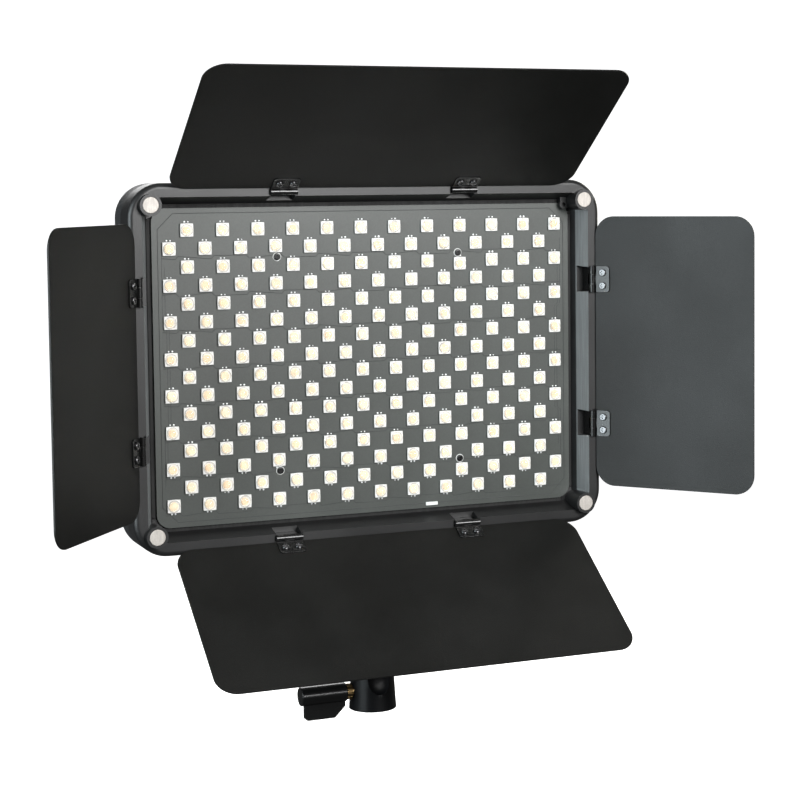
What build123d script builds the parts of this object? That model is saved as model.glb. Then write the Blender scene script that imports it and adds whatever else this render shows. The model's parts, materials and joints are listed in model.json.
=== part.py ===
from build123d import *
import os
from math import cos, radians, sin, sqrt

# LED panel light with four barn doors on a tilting stand socket.
# Millimetres. +Z is up, +X is to the right seen from the front, and the light faces -Y.
# The origin is the centre of the stand socket's mouth.

# Panel, outside
panel_width = 293.2
panel_height = 211.2
corner_radius = 20.0
panel_lift = 32.4        # panel's underside above the tilt bolt
board_y = -4.0           # front face of the LED board
front_reach = 12.0       # bezel face in front of the board
seam_depth = 6.0         # bezel's back edge behind the board's face
rear_depth = 24.0        # rear housing's outer face behind the board's face

# Bezel
bevel = 3.3
face_width = 4.7
slope_width = 5.7        # left and right, seen from the front
slope_width_level = 4.0  # top and bottom
bezel_wall = 2.5

# LED board
board_gap = 2.3          # dark gap between the slope's foot and the board
board_thickness = 1.6
board_corner = 8.0
led_pitch = 10.5
led_size = 7.6
led_height = 1.4
led_margin = 9.0         # least distance from an LED's centre to the board's edge
lens_radius = 3.6
lens_height = 2.8
board_screw_x = 56.8
board_screw_z = 62.4
board_screw_head = 2.0

# Corner magnets
magnet_inset = 12.3      # from the panel's outer side to the magnet's centre, both ways
magnet_radius = 4.7
magnet_thickness = 2.5
post_radius = 6.2
post_reach = 16.1
boss_inset_x = 20.2      # small boss at the board's upper right corner, in from the panel's sides
boss_inset_z = 15.2
boss_radius = 2.8
boss_height = 3.6

# Heat sink
sink_plate = 2.0
sink_rebate = 5.7        # rebate wall, from the panel's outer side to the plate's edge plus clearance
fin_height = 8.0
fin_thickness = 1.4
fin_pitch = 8.0
fin_margin = 40.0

# Rear housing
housing_wall = 2.4
housing_edge = 5.0
vent_width = 2.4
vent_length = 16.0
vent_pitch = 7.0
vent_count = 19

# Barn doors
# Degrees forward from level with the face; the hinges' stop is at 52
door_open = {"top": 54.0, "bottom": 55.5, "left": 52.0, "right": 52.0}
door_reach = 110.0       # hinge axis to the door's free edge
door_reach_side = 104.5
door_width = 249.6       # top and bottom doors, along the hinge
door_height = 166.0      # side doors, along the hinge
door_sheet = 1.0
door_corner = 12.0
hinge_spread = 112.0     # between the two hinges of the top or the bottom door
hinge_spread_side = 89.0
hinge_length = 16.0
barrel_radius = 1.75
pin_radius = 0.8
leaf_thickness = 1.0
leaf_length = 11.0
leaf_neck = 14.0         # width of the fixed leaf below the barrel
door_screw_pitch = 8.0
door_screw_radius = 1.2
door_screw_head = 2.25

# Stand socket
spigot_bore_radius = 8.1
spigot_bore_length = 30.0
socket_radius = 14.25
socket_top_radius = 11.9
socket_height = 40.0
scoop_width = 19.6        # dished scoops in the socket's front and back
scoop_height = 24.0
scoop_depth = 4.6
tilt_z = 72.0
tongue_radius = 12.0
tongue_thickness = 12.0
bolt_radius = 4.0

# Clamp screw of the socket
clamp_z = 11.0
clamp_radius = 4.0
clamp_collar_radius = 4.75
clamp_core_radius = 3.0
collar_length = 3.3
grip_radius = 5.6
grip_length = 28.4
fin_drop = 9.0

# Clearances
fit_gap = 0.05           # running fits and screws, on the radius
part_gap = 0.3           # loose parts beside each other
seat_gap = 0.4           # round a part in its recess

half_w = panel_width / 2
half_h = panel_height / 2
panel_z = tilt_z + panel_lift + half_h   # panel centre above the socket's mouth
face_half_w = half_w - bevel
face_half_h = half_h - bevel
inner_half_w = face_half_w - face_width
inner_half_h = face_half_h - face_width
foot_half_w = inner_half_w - slope_width
foot_half_h = inner_half_h - slope_width_level
board_half_w = foot_half_w - board_gap
board_half_h = foot_half_h - board_gap
sink_half_w = half_w - sink_rebate - bezel_wall
sink_half_h = half_h - sink_rebate - bezel_wall
axis_forward = front_reach + 0.8
axis_half_w = face_half_w - face_width / 2
axis_half_h = face_half_h - face_width / 2
corners = [(x, z) for x in (-1, 1) for z in (-1, 1)]
posts = [(x * (half_w - magnet_inset), z * (half_h - magnet_inset)) for x, z in corners]


def panel(forward=0.0):
    """The plane this far in front of the LED board's face, centred on the panel."""
    return Plane(origin=(0, board_y - forward, panel_z), x_dir=(1, 0, 0), z_dir=(0, -1, 0))


def slab(half_x, half_z, radius, back, front):
    """A rounded slab of the panel between two distances in front of the LED board."""
    outline = panel(back) * RectangleRounded(2 * half_x, 2 * half_z, radius)
    return extrude(outline, front - back)


def block(x, z, width, height, back, front):
    """A square-edged block centred on x, z of the panel."""
    return panel() * Pos(x, z, (back + front) / 2) * Box(width, height, front - back)


def rod(x, z, radius, back, front):
    """A round rod square to the panel."""
    return panel() * Pos(x, z, (back + front) / 2) * Cylinder(radius, front - back)


def across(x_low, x_high, y, z, radius):
    """A round rod along X."""
    return Pos((x_low + x_high) / 2, y, z) * Rot(0, 90, 0) * Cylinder(radius, x_high - x_low)


def front_edges(shape, forward):
    """The edges of a panel part that lie in the plane this far in front of the LED board."""
    return shape.edges().filter_by(lambda e: abs(e.center().Y - board_y + forward) < 0.01)


def save(name, *pieces):
    """Write one node."""
    shape = pieces[0] if len(pieces) == 1 else Compound(children=list(pieces))
    export_step(shape, f"parts/{name}.step")


# The four door sides: outward direction, hinge axis distance, reach, width, hinge spread.
SIDES = {
    "top": (Vector(0, 0, 1), axis_half_h, door_reach, door_width, hinge_spread),
    "bottom": (Vector(0, 0, -1), axis_half_h, door_reach, door_width, hinge_spread),
    "left": (Vector(-1, 0, 0), axis_half_w, door_reach_side, door_height, hinge_spread_side),
    "right": (Vector(1, 0, 0), axis_half_w, door_reach_side, door_height, hinge_spread_side),
}
FORWARD = Vector(0, -1, 0)


def hinge_plane(side, place, angle=0.0):
    """A hinge's own plane: x away from the panel, y along the pin, z to the lit side."""
    outward, distance, _, _, _ = SIDES[side]
    turn = radians(angle)
    along = outward * cos(turn) + FORWARD * sin(turn)
    lit = FORWARD * cos(turn) - outward * sin(turn)
    origin = Vector(0, board_y, panel_z) + outward * distance + FORWARD * axis_forward
    plane = Plane(origin=origin, x_dir=along, z_dir=lit)
    return plane * Pos(0, place, 0)


def hinges(side):
    """Where the two hinges of a door lie along its side."""
    spread = SIDES[side][4]
    return (-spread / 2, spread / 2)


# Leaf offsets in a hinge's own plane
leaf_out = -barrel_radius
leaf_in = leaf_out + leaf_thickness
sheet_out = leaf_out - door_sheet
door_start = sqrt((barrel_radius + 0.5) ** 2 - barrel_radius ** 2)
leaf_start = barrel_radius + 0.5
middle_knuckle = hinge_length * 0.36
screw_row = leaf_start + (leaf_length - leaf_start) / 2
pocket_floor = 3.3
slot_floor = axis_forward - barrel_radius - seat_gap
tail_end = -0.6


def knuckle(low, high):
    """A barrel knuckle with its pin hole, along the hinge axis."""
    length = high - low
    ring = Cylinder(barrel_radius, length) - Cylinder(pin_radius + fit_gap, length)
    return Pos(0, (low + high) / 2, 0) * Rot(90, 0, 0) * ring


def bezel_hinge_cuts(side, place):
    """Room in the bezel for one hinge: barrel slot, splayed pocket and the leaf's tail slot."""
    frame = hinge_plane(side, place)
    reach = barrel_radius + seat_gap
    slot_width = hinge_length + 2 * part_gap + 0.6
    inner = -(face_width / 2 + slope_width + 1.0)
    back = leaf_out + leaf_thickness
    depth = axis_forward - pocket_floor
    slot = Pos(0, 0, (slot_floor - axis_forward + 6) / 2) * Box(
        2 * reach, slot_width, 6 - (slot_floor - axis_forward))
    half_near = leaf_neck / 2 + 0.2
    half_far = slot_width / 2
    floor = Polygon((back, -half_near), (back, half_near), (inner, half_far), (inner, -half_far),
                    align=None)
    pocket = Pos(0, 0, -depth) * extrude(floor, depth + 2)
    tail = Pos((leaf_out + back) / 2, 0, (tail_end - 0.3 + pocket_floor) / 2 - axis_forward) * Box(
        leaf_thickness + 2 * fit_gap, leaf_neck + 2 * fit_gap, pocket_floor - tail_end + 0.3)
    return [frame * slot, frame * pocket, frame * tail]


def front_bezel():
    """Moulded ring with the bevelled front, the inner slope, the magnet posts and hinge pockets."""
    body = slab(half_w, half_h, corner_radius, -seam_depth, front_reach)
    body = fillet(front_edges(body, front_reach), bevel)
    deep = board_thickness
    window = loft([
        panel(-deep) * RectangleRounded(2 * foot_half_w, 2 * foot_half_h, 7.5),
        panel(front_reach) * RectangleRounded(2 * inner_half_w, 2 * inner_half_h, 12.0),
    ])
    rebate = slab(sink_half_w + seat_gap, sink_half_h + seat_gap, 12.0, -seam_depth, -deep)
    channel_top = front_reach - bevel - 0.5
    channel = slab(half_w - bezel_wall, half_h - bezel_wall, corner_radius - bezel_wall,
                   -seam_depth, channel_top)
    channel -= slab(half_w - sink_rebate + 0.4, half_h - sink_rebate + 0.4, 13.0,
                    -seam_depth, channel_top)
    for x, z in posts:
        solid = rod(x, z, post_radius + 1.8, -seam_depth, front_reach)
        rebate -= solid
        channel -= solid
    for side in SIDES:
        for place in hinges(side):
            channel -= hinge_plane(side, place) * Box(30, hinge_length + 6, 60)
    body = body - window - rebate - channel
    for x, z in posts:
        body += rod(x, z, post_radius, -deep, post_reach)
        body -= rod(x, z, magnet_radius + fit_gap, post_reach - magnet_thickness, post_reach)
        body -= rod(x, z, housing_screw_radius + fit_gap, -seam_depth, housing_screw_tip + 1)
    for side in SIDES:
        for place in hinges(side):
            for cut in bezel_hinge_cuts(side, place):
                body -= cut
    for x, z in sink_screw_places:
        body -= rod(x, z, sink_screw_radius + fit_gap, -deep, -deep + sink_screw_bite)
    boss_x, boss_z = half_w - boss_inset_x, half_h - boss_inset_z
    boss = rod(boss_x, boss_z, boss_radius, seat_gap, boss_height)
    boss += block(boss_x, boss_z + 3.5, 2 * boss_radius - 1, 7, seat_gap, boss_height - 0.6)
    return body + boss - rod(boss_x, boss_z, 1.2, boss_height - 2.4, boss_height)


# Screws that hold the rear housing to the bezel's posts, and the heat sink to the bezel
housing_screw_radius = 1.5
housing_screw_tip = 4.0
housing_screw_seat = 4.0       # head's seat, in front of the rear face
housing_screw_head = 2.9
sink_screw_radius = 1.0
sink_screw_bite = 2.2
sink_screw_head = 1.8
sink_screw_edge = 2.0
sink_screw_x = sink_half_w - sink_screw_edge
sink_screw_z = sink_half_h - sink_screw_edge
sink_screw_places = [(x * sink_screw_x, z * 22) for x, z in corners]
sink_screw_places += [(x * 95, z * sink_screw_z) for x, z in corners]


def cross_screw(radius, length, head_radius, head_height):
    """A pan-head cross-recess screw along +Z, with its head's underside at the origin."""
    head = Pos(0, 0, head_height / 2) * Cylinder(head_radius, head_height)
    head = fillet(head.edges().group_by(Axis.Z)[-1], head_height * 0.45)
    arm = head_radius * 1.1
    recess = Box(arm, head_radius * 0.3, head_height) + Box(head_radius * 0.3, arm, head_height)
    head -= Pos(0, 0, head_height) * recess
    return head + Pos(0, 0, -length / 2) * Cylinder(radius, length)


def led_places():
    """Centres of the LEDs: every other place of a square grid, pushed clear of the board screws."""
    columns = int((2 * (board_half_w - led_margin)) // led_pitch) + 1
    rows = int((2 * (board_half_h - led_margin)) // led_pitch) + 1
    clear_x = led_size / 2 + board_screw_head
    clear_z = clear_x + 0.7
    places = []
    for i in range(columns):
        for j in range(rows):
            if (i + j) % 2 == 0:
                continue
            x = (i - (columns - 1) / 2) * led_pitch
            z = ((rows - 1) / 2 - j) * led_pitch
            for sx, sz in corners:
                gap = z - sz * board_screw_z
                if abs(x - sx * board_screw_x) < clear_x and abs(gap) < clear_z:
                    z = sz * board_screw_z + (clear_z if gap > 0 else -clear_z)
            places.append((x, z))
    return places


def led_board():
    """Aluminium-core circuit board that carries the LEDs."""
    board = slab(board_half_w, board_half_h, board_corner, -board_thickness, 0)
    for x, z in corners:
        board -= rod(x * board_screw_x, z * board_screw_z, 1.5 + fit_gap, -board_thickness, 0)
    return board


def led_lens():
    """Clear dome over an LED: a spherical cap on a flat base."""
    ball = (lens_radius ** 2 + lens_height ** 2) / (2 * lens_height)
    cap = Pos(0, 0, lens_height - ball) * Sphere(ball)
    return cap & Pos(0, 0, ball) * Box(4 * ball, 4 * ball, 2 * ball)


def heat_sink():
    """Black aluminium plate behind the LED board, with upright fins on its back."""
    front = -board_thickness
    back = front - sink_plate
    sink = slab(sink_half_w, sink_half_h, 11.6, back, front)
    for x, z in posts:
        sink -= rod(x, z, post_radius + 1.8 + seat_gap, back, front)
    count = int((sink_half_w - fin_margin) // fin_pitch)
    for k in range(-count, count + 1):
        sink += block(k * fin_pitch, 0, fin_thickness, 2 * (sink_half_h - fin_margin / 2),
                      back - fin_height, back)
    for x, z in corners:
        sink -= rod(x * board_screw_x, z * board_screw_z, 1.5 + fit_gap, back, front)
    for x, z in sink_screw_places:
        sink -= rod(x, z, sink_screw_radius + fit_gap, back, front)
    return sink


# Rear controls, as x, z on the rear face
inner_back = -rear_depth + housing_wall      # inner side of the rear wall
circuit_back = inner_back + 6.0              # rear side of the circuit boards
circuit_thickness = 1.6
display_z = 10.0
display_width = 52.0
display_height = 28.0
window_thickness = 1.2
knob_x = 48.0
knob_radius = 11.0
knob_length = 14.0
shaft_radius = 3.0
bush_radius = 3.5
button_x = 13.0
button_z = -20.0
button_radius = 4.0
switch_x = -22.0
jack_x = 22.0
power_z = -74.0
rocker_width = 12.0
rocker_height = 18.0
jack_radius = 3.2
plate_x = 98.0
plate_z = 6.0
plate_width = 40.0
plate_height = 74.0
plate_thickness = 3.6
latch_width = 12.0
latch_height = 5.0
pillar_radius = 3.0
circuit_screw_radius = 1.2
control_half = (66.0, 28.0)
control_z = 0.0
driver_half = (66.0, 15.0)
driver_z = -49.0
circuit_pillars = [(x * (half[0] - 4), centre + z * (half[1] - 4))
                   for half, centre in ((control_half, control_z), (driver_half, driver_z))
                   for x, z in corners]
plate_screws = [(s * plate_x + x * 12, plate_z + z * 26) for s in (-1, 1) for x, z in corners]
yoke_screws = [(x * 17.0, y) for x in (-1, 1) for y in (6.5, 12.4)]
yoke_half = 23.0
yoke_front = board_y + seam_depth + 1.0
yoke_back = board_y + rear_depth - housing_edge
plate_bottom = panel_z - half_h              # underside of the panel


def rear_housing():
    """Rear shell with its vents, control openings, screw columns and circuit pillars."""
    body = slab(half_w, half_h, corner_radius, -rear_depth, -seam_depth)
    body = fillet(front_edges(body, -rear_depth), housing_edge)
    inner_radius = corner_radius - housing_wall
    cavity = slab(half_w - housing_wall, half_h - housing_wall, inner_radius, inner_back, -seam_depth)
    cavity = fillet(front_edges(cavity, inner_back), housing_edge - housing_wall)
    body -= cavity
    for x, z in posts:
        body += rod(x, z, 4.4, inner_back, -seam_depth)
    for x, z in circuit_pillars:
        body += rod(x, z, pillar_radius, inner_back - 0.4, circuit_back)
        body -= rod(x, z, circuit_screw_radius + fit_gap, circuit_back - 4.4, circuit_back)
    for x, z in posts:
        body -= rod(x, z, housing_screw_radius + fit_gap, -rear_depth, -seam_depth)
        body -= rod(x, z, housing_screw_head + part_gap, -rear_depth, -rear_depth + housing_screw_seat)
    for row in (half_h - 22, half_h - 42):
        for k in range(vent_count):
            x = (k - (vent_count - 1) / 2) * vent_pitch
            body -= block(x, row, vent_width, vent_length, -rear_depth, inner_back)
    body -= block(0, display_z, display_width + 0.2, display_height + 0.2,
                  -rear_depth, -rear_depth + window_thickness)
    body -= block(0, display_z, display_width - 6, display_height - 6, -rear_depth, inner_back)
    for s in (-1, 1):
        body -= rod(s * knob_x, display_z, bush_radius + fit_gap, -rear_depth, inner_back)
        body -= rod(s * button_x, button_z, button_radius + part_gap, -rear_depth, inner_back)
        body -= block(s * plate_x, latch_z, latch_width + 0.6, latch_height + 0.6, -rear_depth, inner_back)
    body -= block(switch_x, power_z, rocker_width + 3, rocker_height + 3, -rear_depth, inner_back)
    body -= rod(jack_x, power_z, jack_radius + 2.0, -rear_depth, inner_back)
    for x, z in plate_screws:
        body -= rod(x, z, circuit_screw_radius + fit_gap, -rear_depth, inner_back)
    for x, y in yoke_screws:
        body -= Pos(x, y, plate_bottom + housing_wall / 2) * Cylinder(2.0 + fit_gap, housing_wall + 4)
    return body


latch_z = plate_z - plate_height / 2 + 7.0


def battery_plate(s):
    """Slide-on battery plate with two undercut rails, contact slots and a hole for its latch."""
    x = s * plate_x
    back = -rear_depth - plate_thickness
    plate = slab_at(x, plate_z, plate_width, plate_height, 3.0, back, -rear_depth)
    for side in (-1, 1):
        edge = x + side * (plate_width / 2 - 3)
        for step in (-1, 1):
            z = plate_z + 6 + step * 16
            plate += block(edge, z, 2.4, 14, back - 3.0, back)
            plate += block(edge - side * 1.2, z, 4.8, 14, back - 4.4, back - 3.0)
    for k in (-1, 0, 1):
        plate -= block(x + k * 6.0, plate_z + 27, 2.2, 11, back, back + 2.0)
    plate -= block(x, latch_z, latch_width + 0.6, latch_height + 0.6, back, -rear_depth)
    for sx, sz in plate_screws:
        if sx * s > 0:
            plate -= rod(sx, sz, circuit_screw_radius + fit_gap, back, -rear_depth)
            plate -= rod(sx, sz, 2.5, back, back + 1.6)
    return plate


def slab_at(x, z, width, height, radius, back, front):
    """A rounded slab centred on x, z of the panel."""
    return extrude(panel(back) * Pos(x, z, 0) * RectangleRounded(width, height, radius), front - back)


def door_sheet_piece(side):
    """One flat door leaf with rounded corners and the screw holes of its two hinges."""
    _, _, reach, width, _ = SIDES[side]
    frame = hinge_plane(side, 0, door_open[side])
    outline = RectangleRounded(reach - door_start, width, door_corner)
    sheet = Pos((reach + door_start) / 2, 0, sheet_out) * extrude(outline, door_sheet)
    for place in hinges(side):
        for s in (-0.5, 0.5):
            hole = Pos(screw_row, place + s * door_screw_pitch, sheet_out + door_sheet / 2) * Cylinder(
                door_screw_radius + fit_gap, door_sheet)
            sheet -= hole
    return frame * sheet


def moving_leaf():
    """The leaf that carries the door, in its hinge's own plane."""
    plate = Pos((leaf_start + leaf_length) / 2, 0, leaf_out) * extrude(
        Rectangle(leaf_length - leaf_start, hinge_length), leaf_thickness)
    outer = plate.edges().filter_by(Axis.Z).group_by(Axis.X)[-1]
    plate = fillet(outer, 2.0)
    neck = Pos(leaf_start / 2, 0, leaf_out + leaf_thickness / 2) * Box(
        leaf_start, middle_knuckle, leaf_thickness)
    half = middle_knuckle / 2
    leaf = plate + neck + Rot(90, 0, 0) * Cylinder(barrel_radius, middle_knuckle)
    leaf -= Rot(90, 0, 0) * Cylinder(pin_radius + fit_gap, 2 * half)
    for s in (-0.5, 0.5):
        leaf -= Pos(screw_row, s * door_screw_pitch, leaf_out + leaf_thickness / 2) * Cylinder(
            door_screw_radius + fit_gap, leaf_thickness)
    return leaf


def fixed_leaf():
    """The leaf let into the bezel: two knuckles on a plate whose tail goes through the pocket floor."""
    inner = middle_knuckle / 2 + 0.15
    outer = hinge_length / 2
    leaf = knuckle(inner, outer) + knuckle(-outer, -inner)
    x = leaf_out + leaf_thickness / 2
    top = -barrel_radius - 0.5
    for s in (-1, 1):
        ear = leaf_neck / 2 - inner
        tab = Pos(x, s * (inner + ear / 2), top / 2) * Box(leaf_thickness, ear, -top)
        leaf += tab - Rot(90, 0, 0) * Cylinder(pin_radius + fit_gap, hinge_length)
    plate_top = axis_forward + top
    leaf += Pos(x, 0, (plate_top + tail_end) / 2 - axis_forward) * Box(
        leaf_thickness, leaf_neck, plate_top - tail_end)
    return leaf


def door_fasteners(side):
    """The two cross-recess screws and nuts of each hinge on a door."""
    pieces = []
    nut_height = 1.6
    shank = leaf_thickness + door_sheet + nut_height + 0.4
    screw = cross_screw(door_screw_radius, shank, door_screw_head, 1.1)
    nut = extrude(RegularPolygon(2.6, 6), nut_height)
    nut -= Pos(0, 0, nut_height / 2) * Cylinder(door_screw_radius + fit_gap, nut_height)
    for place in hinges(side):
        frame = hinge_plane(side, place, door_open[side])
        for s in (-0.5, 0.5):
            spot = Pos(screw_row, s * door_screw_pitch, 0)
            pieces.append(frame * spot * Pos(0, 0, leaf_in) * screw)
            pieces.append(frame * spot * Pos(0, 0, sheet_out - nut_height) * nut)
    return pieces


def stand_socket():
    """Tapered socket for a stand spigot, with a flat tongue for the tilt bolt above it."""
    body = Pos(0, 0, socket_height / 2) * Cone(socket_radius, socket_top_radius, socket_height)
    tongue = Pos(0, 0, (socket_height - 6 + tilt_z) / 2) * Box(
        tongue_thickness, 2 * tongue_radius - 1.2, tilt_z - socket_height + 6)
    body += tongue + across(-tongue_thickness / 2, tongue_thickness / 2, 0, tilt_z, tongue_radius)
    body -= Pos(0, 0, spigot_bore_length / 2) * Cylinder(spigot_bore_radius, spigot_bore_length)
    scoop = scale(Sphere(1), by=(scoop_width / 2, scoop_depth, scoop_height / 2))
    for s in (-1, 1):
        body -= Pos(0, s * socket_radius, 10 + scoop_height / 2) * scoop
    body -= across(-socket_radius - 1, 0, 0, clamp_z, clamp_radius + fit_gap)
    body -= across(-tongue_thickness, tongue_thickness, 0, tilt_z, bolt_radius + fit_gap)
    return body


clamp_tip = spigot_bore_radius + 0.2
shoe_length = 1.6
collar_start = socket_radius - 0.2


def clamp_screw():
    """Brass clamp screw with a ribbed collar between the socket and the grip."""
    start = clamp_tip + shoe_length + 0.05
    screw = across(-collar_start, -start, 0, clamp_z, clamp_radius)
    collar = across(-collar_start - collar_length, -collar_start, 0, clamp_z, clamp_collar_radius)
    ribs = 14
    for k in range(ribs):
        groove = Pos(0, clamp_collar_radius + 0.25, 0) * Cylinder(0.6, grip_length)
        turned = Rot(0, 90, 0) * Rot(0, 0, k * 360 / ribs) * groove
        collar -= Pos(-collar_start, 0, clamp_z) * turned
    core = across(-collar_start - collar_length - 16, -collar_start - collar_length, 0, clamp_z, clamp_core_radius)
    return screw + collar + core


def clamp_grip():
    """Round grip of the clamp screw with a flat fin below it."""
    right = -collar_start - collar_length
    left = right - grip_length
    grip = across(left, right, 0, clamp_z, grip_radius)
    grip = fillet(grip.edges().filter_by(GeomType.CIRCLE), 0.6)
    low = clamp_z - grip_radius - fin_drop
    outline = Polygon((left + 2.6, clamp_z), (right - 0.6, clamp_z), (right - 0.6, low + 6.6),
                      (right - 7.2, low), (left + 2.6, low), align=None)
    fin = extrude(Plane.XZ * outline, 1.9, both=True)
    fin = fillet(fin.edges().filter_by(Axis.Y).group_by(Axis.Z)[0], 2.2)
    grip += fin
    return grip - across(right - 16, right, 0, clamp_z, clamp_core_radius)


washer = 0.45
ear_in = tongue_thickness / 2 + washer + 0.05
ear_thickness = 5.5
ear_out = ear_in + ear_thickness
lever_start = ear_out + 1.0
lever_hub = 13.0


def tilt_yoke():
    """Bracket screwed under the rear housing, with two ears for the tilt bolt."""
    base_height = 4.0
    low = plate_bottom - base_height
    base = Pos(0, (yoke_front + yoke_back) / 2, low + base_height / 2) * Box(
        2 * yoke_half, yoke_back - yoke_front, base_height)
    base = fillet(base.edges().filter_by(Axis.Z), 3.0)
    outline = Polygon((tongue_radius * 0.97, tilt_z - 3.2), (yoke_back, low + 1), (yoke_front, low + 1),
                      (-tongue_radius * 0.9, tilt_z + 5.5), align=None)
    for s in (-1, 1):
        near = ear_in if s > 0 else -ear_out
        ear = extrude(Plane.YZ.offset(near) * outline, ear_thickness)
        ear += across(near, near + ear_thickness, 0, tilt_z, tongue_radius)
        base += ear
    base -= across(-ear_out, ear_out, 0, tilt_z, bolt_radius + fit_gap)
    head_seat = RegularPolygon(7.3, 6)
    base -= extrude(Plane.YZ.offset(-ear_out) * Pos(0, tilt_z, 0) * head_seat, 2.0)
    for x, y in yoke_screws:
        base -= Pos(x, y, low + base_height / 2) * Cylinder(2.0 + fit_gap, base_height)
        base -= Pos(x, y, low + 1.2) * Cylinder(3.9, 2.4)
    return base


def tilt_bolt():
    """Hexagon bolt through the ears and the tongue, ending in the tilt lever."""
    bolt = across(-ear_out, lever_start + lever_hub - 3, 0, tilt_z, bolt_radius)
    head = Plane.YZ.offset(-ear_out - 3.4) * Pos(0, tilt_z, 0) * RegularPolygon(7.1, 6)
    return bolt + extrude(head, 5.4)


def tilt_lever():
    """Clamping lever that tightens the tilt."""
    end = lever_start + lever_hub
    hub = across(lever_start, end, 0, tilt_z, 8.5)
    arm_x = lever_start + 7.5
    arm = Pos(arm_x, 0, tilt_z - 17) * Box(6.0, 9.0, 34)
    arm += Pos(arm_x, 0, tilt_z - 34) * Rot(0, 90, 0) * Cylinder(4.5, 6.0)
    lever = hub + arm
    lever -= across(lever_start, end - 2.8, 0, tilt_z, bolt_radius + fit_gap)
    return fillet(lever.edges().filter_by(lambda e: e.center().X > end - 0.01), 1.2)


def friction_washers():
    """Thin washers between the tongue and the ears."""
    pieces = []
    for s in (-1, 1):
        low = min(s * (ear_in - washer), s * ear_in)
        ring = across(low, low + washer, 0, tilt_z, tongue_radius - 0.5)
        pieces.append(ring - across(low, low + washer, 0, tilt_z, bolt_radius + fit_gap))
    return pieces


def yoke_screw(x, y):
    """Screw from below through the yoke and the housing into the backing plate."""
    low = plate_bottom - 4.0
    head = Pos(x, y, low + 1.3) * Cylinder(3.5, 2.2)
    socket = Pos(x, y, low + 0.2) * extrude(RegularPolygon(1.8, 6), 1.4)
    shank = Pos(x, y, (low + 2.4 + plate_bottom + housing_wall + 2.5) / 2) * Cylinder(
        2.0, plate_bottom + housing_wall + 2.5 - low - 2.4)
    return head - socket + shank


def backing_plate():
    """Steel plate inside the housing that the yoke's screws thread into."""
    low = plate_bottom + housing_wall
    y_low, y_high = yoke_screws[0][1] - 2.5, yoke_screws[1][1] + 2.5
    plate = Pos(0, (y_low + y_high) / 2, low + 1.0) * Box(2 * yoke_half, y_high - y_low, 2.0)
    for x, y in yoke_screws:
        plate -= Pos(x, y, low + 1.0) * Cylinder(2.0 + fit_gap, 2.0)
    return plate


def knob(s):
    """Ribbed rotary knob on its shaft."""
    back = -rear_depth - 1.5 - knob_length
    front = back + knob_length
    body = rod(s * knob_x, display_z, knob_radius, back, front)
    body = fillet(front_edges(body, back), 1.5)
    ribs = 24
    for k in range(ribs):
        around = panel(back) * Pos(s * knob_x, display_z, 0) * Rot(0, 0, k * 360 / ribs)
        body -= around * Pos(knob_radius + 0.35, 0, knob_length / 2 + 1.0) * Cylinder(0.8, knob_length - 2)
    body -= rod(s * knob_x, display_z, knob_radius - 2.5, front - 3.5, front)
    body -= rod(s * knob_x, display_z, shaft_radius, back + 4, front)
    return body


def knob_shaft(s):
    """Metal shaft of a rotary encoder."""
    back = -rear_depth - 1.5 - knob_length
    return rod(s * knob_x, display_z, shaft_radius, back + 4, circuit_back - 1.0)


def encoder(s):
    """Body of a rotary encoder with its bush through the rear wall."""
    x = s * knob_x
    body = block(x, display_z, 12, 12, inner_back, circuit_back)
    body += rod(x, display_z, bush_radius, -rear_depth - 0.9, inner_back)
    return body - rod(x, display_z, shaft_radius + fit_gap, -rear_depth - 0.9, circuit_back)


def button(s):
    """Push-button cap with a flange behind the rear wall."""
    x = s * button_x
    body = rod(x, button_z, button_radius, -rear_depth - 1.4, inner_back + 1.2)
    body = fillet(front_edges(body, -rear_depth - 1.4), 0.6)
    return body + rod(x, button_z, button_radius + 1.2, inner_back + 0.2, inner_back + 1.2)


def power_switch():
    """Snap-in frame and body of the power switch."""
    back = -rear_depth - 1.2
    body = slab_at(switch_x, power_z, rocker_width + 6, rocker_height + 6, 1.5, back, -rear_depth)
    body += block(switch_x, power_z, rocker_width + 2.6, rocker_height + 2.6, -rear_depth, circuit_back)
    return body - block(switch_x, power_z, rocker_width + 0.8, rocker_height + 0.8, back, inner_back + 4)


def rocker():
    """Rocker of the power switch, resting pressed in at the bottom."""
    tip = 9.0
    half = rocker_height / 2 - 0.4
    outline = Polygon((-half, 0), (-half + 0.6, 2.6), (0, 1.2), (half - 0.6, 2.6), (half, 0), (0, -2.4),
                      align=None)
    shape = extrude(outline, rocker_width / 2 - 0.3, both=True)
    frame = Plane(origin=(switch_x, board_y + rear_depth, panel_z + power_z),
                  x_dir=(0, 0, 1), z_dir=(-1, 0, 0))
    return frame * Rot(0, 0, -tip) * shape


def dc_jack():
    """Power inlet with a centre pin and a ring nut outside."""
    body = rod(jack_x, power_z, jack_radius + 1.95, -rear_depth - 0.8, circuit_back)
    body += rod(jack_x, power_z, jack_radius + 3.4, -rear_depth - 1.6, -rear_depth)
    body -= rod(jack_x, power_z, jack_radius, -rear_depth - 1.6, circuit_back - 1.5)
    return body + rod(jack_x, power_z, 1.05, -rear_depth - 0.4, circuit_back - 1.5)


def circuit_board(half, z, drilled):
    """Circuit board on the housing's pillars."""
    board = block(0, z, 2 * half[0], 2 * half[1], circuit_back, circuit_back + circuit_thickness)
    for x, place in drilled:
        board -= rod(x, place, circuit_screw_radius + fit_gap, circuit_back,
                     circuit_back + circuit_thickness)
    return board


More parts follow.
